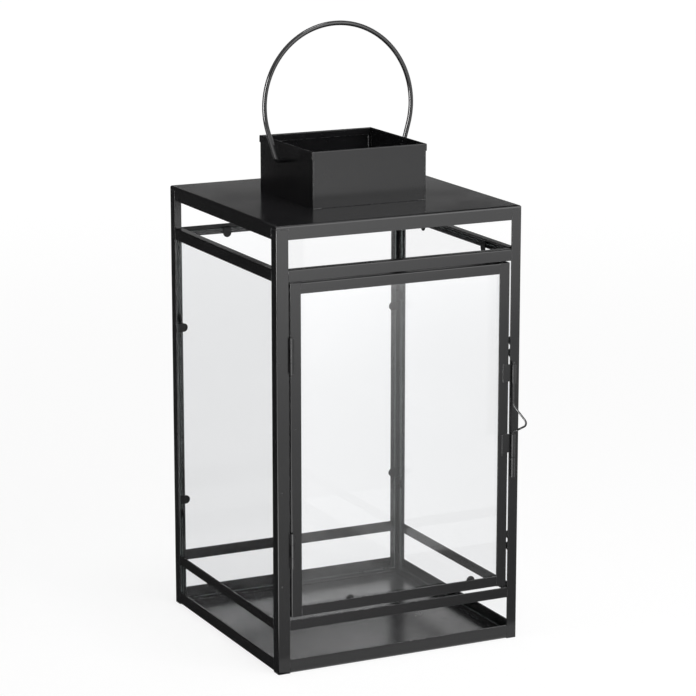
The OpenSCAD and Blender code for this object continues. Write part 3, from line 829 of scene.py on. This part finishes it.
class LANTERN_OT_bolt(bpy.types.Operator):
    """Bends the drop bolt with its finger bow"""
    bl_idname = "lantern.bolt"
    bl_label = "Drop bolt"

    def execute(self, context):
        bolt = context.scene.lantern_bolt
        low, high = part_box("drop_bolt")
        keeper_low, keeper_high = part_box("bolt_keeper")
        # The bow's two sides, each as a step sideways and up, and the turns at its three corners
        out = Vector((bolt.reach, BOW_FOOT - BOW_TIP))
        back = Vector((-bolt.reach, BOW_TIP - BOW_HEAD))
        rise_out, rise_back = math.atan2(out.y, out.x), math.atan2(back.y, back.x)
        turns = (QUARTER - rise_out, rise_out - rise_back, rise_back - QUARTER)
        trims = [r * math.tan(abs(t) / 2) for r, t in zip(BOW_BENDS, turns)]

        wire = WireRun((0, 0, low.z), Z, bolt.wire / 2, sides=24)
        wire.run(high.z - BOW_FOOT - trims[0] - low.z, cuts=3)
        wire.bend(BOW_BENDS[0], turns[0], BOW_STEPS[0])
        wire.run(out.length - trims[0] - trims[1])
        wire.bend(BOW_BENDS[1], turns[1], BOW_STEPS[1])
        wire.run(back.length - trims[1] - trims[2])
        wire.bend(BOW_BENDS[2], turns[2], BOW_STEPS[2])
        wire.run(BOW_HEAD - trims[2], cuts=3)
        bm = wire.closed(BOLT_CUT)
        middle = (keeper_high.x - KEEPER_AXIS, keeper_low.y + KEEPER_AXIS, 0)
        place = Matrix.Translation(middle) @ Matrix.Rotation(-bolt.turn, 4, "Z")
        bmesh.ops.transform(bm, matrix=place, verts=bm.verts)
        finished(bm, "drop_bolt_wire", WIRE_COAT, "bolt", ["drop_bolt"])
        return {"FINISHED"}


class LANTERN_OT_welds(bpy.types.Operator):
    """Lays the weld beads and tacks that show through the paint"""
    bl_idname = "lantern.welds"
    bl_label = "Welds"

    def execute(self, context):
        collar_low, collar_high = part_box("collar_front")
        post_low, post_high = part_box("post_front_left")
        roof, face = collar_low.z, post_low.y
        bm = blank()
        for side in (-1, 1):
            for end in (-1, 1):
                seam = Vector((side * (collar_high.x - SEAM_INSET),
                               end * (-collar_low.y - SEAM_INSET), 0))
                bead(bm, seam + Z * (roof + SEAM_START), seam + Z * (roof + SEAM_END), SEAM_BEAD)
            foot = Vector((side * (collar_high.x - FOOT_IN), collar_low.y - FOOT_OUT,
                           roof + FOOT_UP))
            bead(bm, foot, foot - X * side * FOOT_RUN, SEAM_BEAD)
            corner = Vector((side * (post_high.x - post_low.x + FLOOR_SIDE), -face - FLOOR_IN,
                             FLOOR_UP))
            for begin, stop in FLOOR_RUNS:
                bead(bm, corner - X * side * begin, corner - X * side * stop, FLOOR_BEAD)
        for x, z in POST_TACKS:
            tack(bm, (x, face, z), TACK)
        finished(bm, "frame_welds", WELD_COAT, "lantern")

        bm = blank()
        for node in GUIDES:
            low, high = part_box(node)
            start = Vector((low.x, face, low.z + GUIDE_MARGIN))
            bead(bm, start, start + Z * (high.z - low.z - 2 * GUIDE_MARGIN), GUIDE_BEAD)
        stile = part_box("door_stile_hinge")[0]
        tack(bm, (stile.x + STILE_TACK_IN, stile.y, STILE_TACK_UP), TACK)
        finished(bm, "door_welds", WELD_COAT, "door")
        return {"FINISHED"}


# ---------- Stage ----------

def stage_piece(bm, name, finish):
    mesh = bpy.data.meshes.new(name)
    bm.to_mesh(mesh)
    bm.free()
    mesh.materials.append(finish)
    piece = bpy.data.objects.new(name, mesh)
    bpy.context.scene.collection.objects.link(piece)
    return piece


def card_piece(bm, name, finish):
    """A card that only reflections see."""
    card = stage_piece(bm, name, finish)
    card.visible_camera = False
    card.visible_diffuse = False
    card.visible_transmission = False
    card.visible_shadow = False
    card.visible_volume_scatter = False


def flat_card(name, finish, place, size, turn=0.0, upright=True):
    """A flat card, upright or lying, turned about Z by degrees."""
    bm = bmesh.new()
    bmesh.ops.create_grid(bm, x_segments=1, y_segments=1, size=0.5)
    stood = Matrix.Rotation(QUARTER if upright else 0.0, 4, "X")
    bmesh.ops.transform(bm, verts=bm.verts, matrix=(
        Matrix.Translation(place) @ Matrix.Rotation(math.radians(turn), 4, "Z") @ stood
        @ Matrix.Diagonal((*size, 1.0, 1.0))))
    card_piece(bm, name, finish)


def curved_screen():
    """The tall screen that stands round the lantern's back."""
    bm = bmesh.new()
    start = bm.verts.new(SCREEN_START)
    bmesh.ops.spin(bm, geom=[start], cent=(0, 0, 0), axis=Z, angle=SCREEN_TURN,
                   steps=SCREEN_STEPS, use_merge=False)
    top = bmesh.ops.extrude_edge_only(bm, edges=list(bm.edges))["geom"]
    bmesh.ops.translate(bm, vec=Z * SCREEN_HEIGHT,
                        verts=[g for g in top if isinstance(g, bmesh.types.BMVert)])
    return bm


def lamp(name, place, aim, size, power):
    light = bpy.data.lights.new(name, "AREA")
    light.shape = "RECTANGLE"
    light.size, light.size_y = size
    light.energy = power
    holder = bpy.data.objects.new(name, light)
    bpy.context.scene.collection.objects.link(holder)
    holder.location = place
    holder.rotation_euler = (Vector(aim) - Vector(place)).to_track_quat("-Z", "Y").to_euler()


def photo_camera():
    """The photograph's camera, as fitted to the lantern's edges."""
    lens = bpy.data.cameras.new("camera")
    lens.lens = CAMERA_LENS
    lens.sensor_width = CAMERA_SENSOR
    lens.clip_end = CAMERA_REACH
    eye = bpy.data.objects.new("camera", lens)
    bpy.context.scene.collection.objects.link(eye)
    eye.location = CAMERA_PLACE
    aim = Vector(CAMERA_AIM) - eye.location
    eye.rotation_euler = aim.to_track_quat("-Z", "Y").to_euler()
    return eye


class LANTERN_OT_stage(bpy.types.Operator):
    """Sets the floor, the reflection cards, the lamps, the room and the camera"""
    bl_idname = "lantern.stage"
    bl_label = "Stage"

    def execute(self, context):
        scene = context.scene
        stage = scene.lantern_stage
        scene.view_settings.view_transform = "Standard"

        floor = bmesh.new()
        bmesh.ops.create_grid(floor, x_segments=1, y_segments=1, size=STUDIO_HALF)
        stage_piece(floor, "studio_floor", floor_finish(stage))

        card_piece(curved_screen(), "graded_screen", screen_finish())
        # Dark cards that stand: at the back, a small grey one before it, and beside the camera
        flat_card("black_flag", card_finish("flag cloth", 0.04),
             place=(-1.1225, 0.56, 0.5), size=(1.795, 1.0))
        flat_card("rail_flag", rail_flag_finish(),
             place=(-0.1625, 0.561, 0.255), size=(0.135, 0.13))
        flat_card("camera_flag", card_finish("camera flag cloth", 0.03),
             place=(-1.27, -2.6, 1.1), size=(1.6, 2.0), turn=-26)
        # Cards that lie on the floor, each at its own height
        flat_card("black_mat", card_finish("mat cloth", 0.05),
             place=(-0.490707, 0.171264, 0.0009), size=(0.8, 0.86), turn=26.15, upright=False)
        flat_card("graded_sheet", sheet_finish(),
             place=(0.7, -1.66, 0.0006), size=(2.6, SHEET_LENGTH), upright=False)
        flat_card("side_sheet", card_finish("side sheet", 4.0),
             place=(-0.92, -0.4, 0.0012), size=(1.5, 0.46), upright=False)
        # A tall bright card on the left, which the folds and the hinge knuckles mirror
        flat_card("side_strip", card_finish("side strip", 24.0),
             place=(-1.9, -0.75, 0.75), size=(0.8, 1.5), turn=-68)

        lamp("key_box", place=(0.56, -1.4, 1.12), aim=(-0.1, 0, 0.7), size=(1.1, 1.4),
             power=stage.key)
        lamp("top_box", place=(0.1, -0.3, 2.1), aim=(0.1, -0.1, 0), size=(0.6, 0.6),
             power=stage.top)

        scene.world = room_finish(stage)
        scene.camera = photo_camera()
        return {"FINISHED"}


# ---------- Sidebar and start ----------

class LANTERN_PT_sidebar(bpy.types.Panel):
    """The lantern's pieces, sizes and colours"""
    bl_idname = "LANTERN_PT_sidebar"
    bl_label = "Lantern"
    bl_space_type = "VIEW_3D"
    bl_region_type = "UI"
    bl_category = "Lantern"

    def draw(self, context):
        for operator in OPERATORS:
            self.layout.operator(operator.bl_idname)
        for group in GROUPS:
            box = self.layout.box()
            values = getattr(context.scene, group)
            for name in GROUPS[group].__annotations__:
                box.prop(values, name)


GROUPS = {
    "lantern_paint": LanternPaint, "lantern_sheet": LanternSheet, "lantern_ring": LanternRing,
    "lantern_bolt": LanternBolt, "lantern_glass": LanternGlass, "lantern_stage": LanternStage,
}
OPERATORS = (
    LANTERN_OT_frame, LANTERN_OT_roof, LANTERN_OT_collar, LANTERN_OT_door, LANTERN_OT_fittings,
    LANTERN_OT_panes, LANTERN_OT_ring, LANTERN_OT_bolt, LANTERN_OT_welds, LANTERN_OT_stage,
)


def register():
    for group in (*GROUPS.values(), *OPERATORS, LANTERN_PT_sidebar):
        bpy.utils.register_class(group)
    for name, group in GROUPS.items():
        setattr(bpy.types.Scene, name, PointerProperty(type=group))


def unregister():
    for name in GROUPS:
        delattr(bpy.types.Scene, name)
    for group in (LANTERN_PT_sidebar, *reversed(OPERATORS), *GROUPS.values()):
        bpy.utils.unregister_class(group)


def main():
    register()
    bpy.ops.lantern.frame()
    bpy.ops.lantern.roof()
    bpy.ops.lantern.collar()
    bpy.ops.lantern.door()
    bpy.ops.lantern.fittings()
    bpy.ops.lantern.panes()
    bpy.ops.lantern.ring()
    bpy.ops.lantern.bolt()
    bpy.ops.lantern.welds()
    bpy.ops.lantern.stage()


if __name__ == "__main__":
    main()
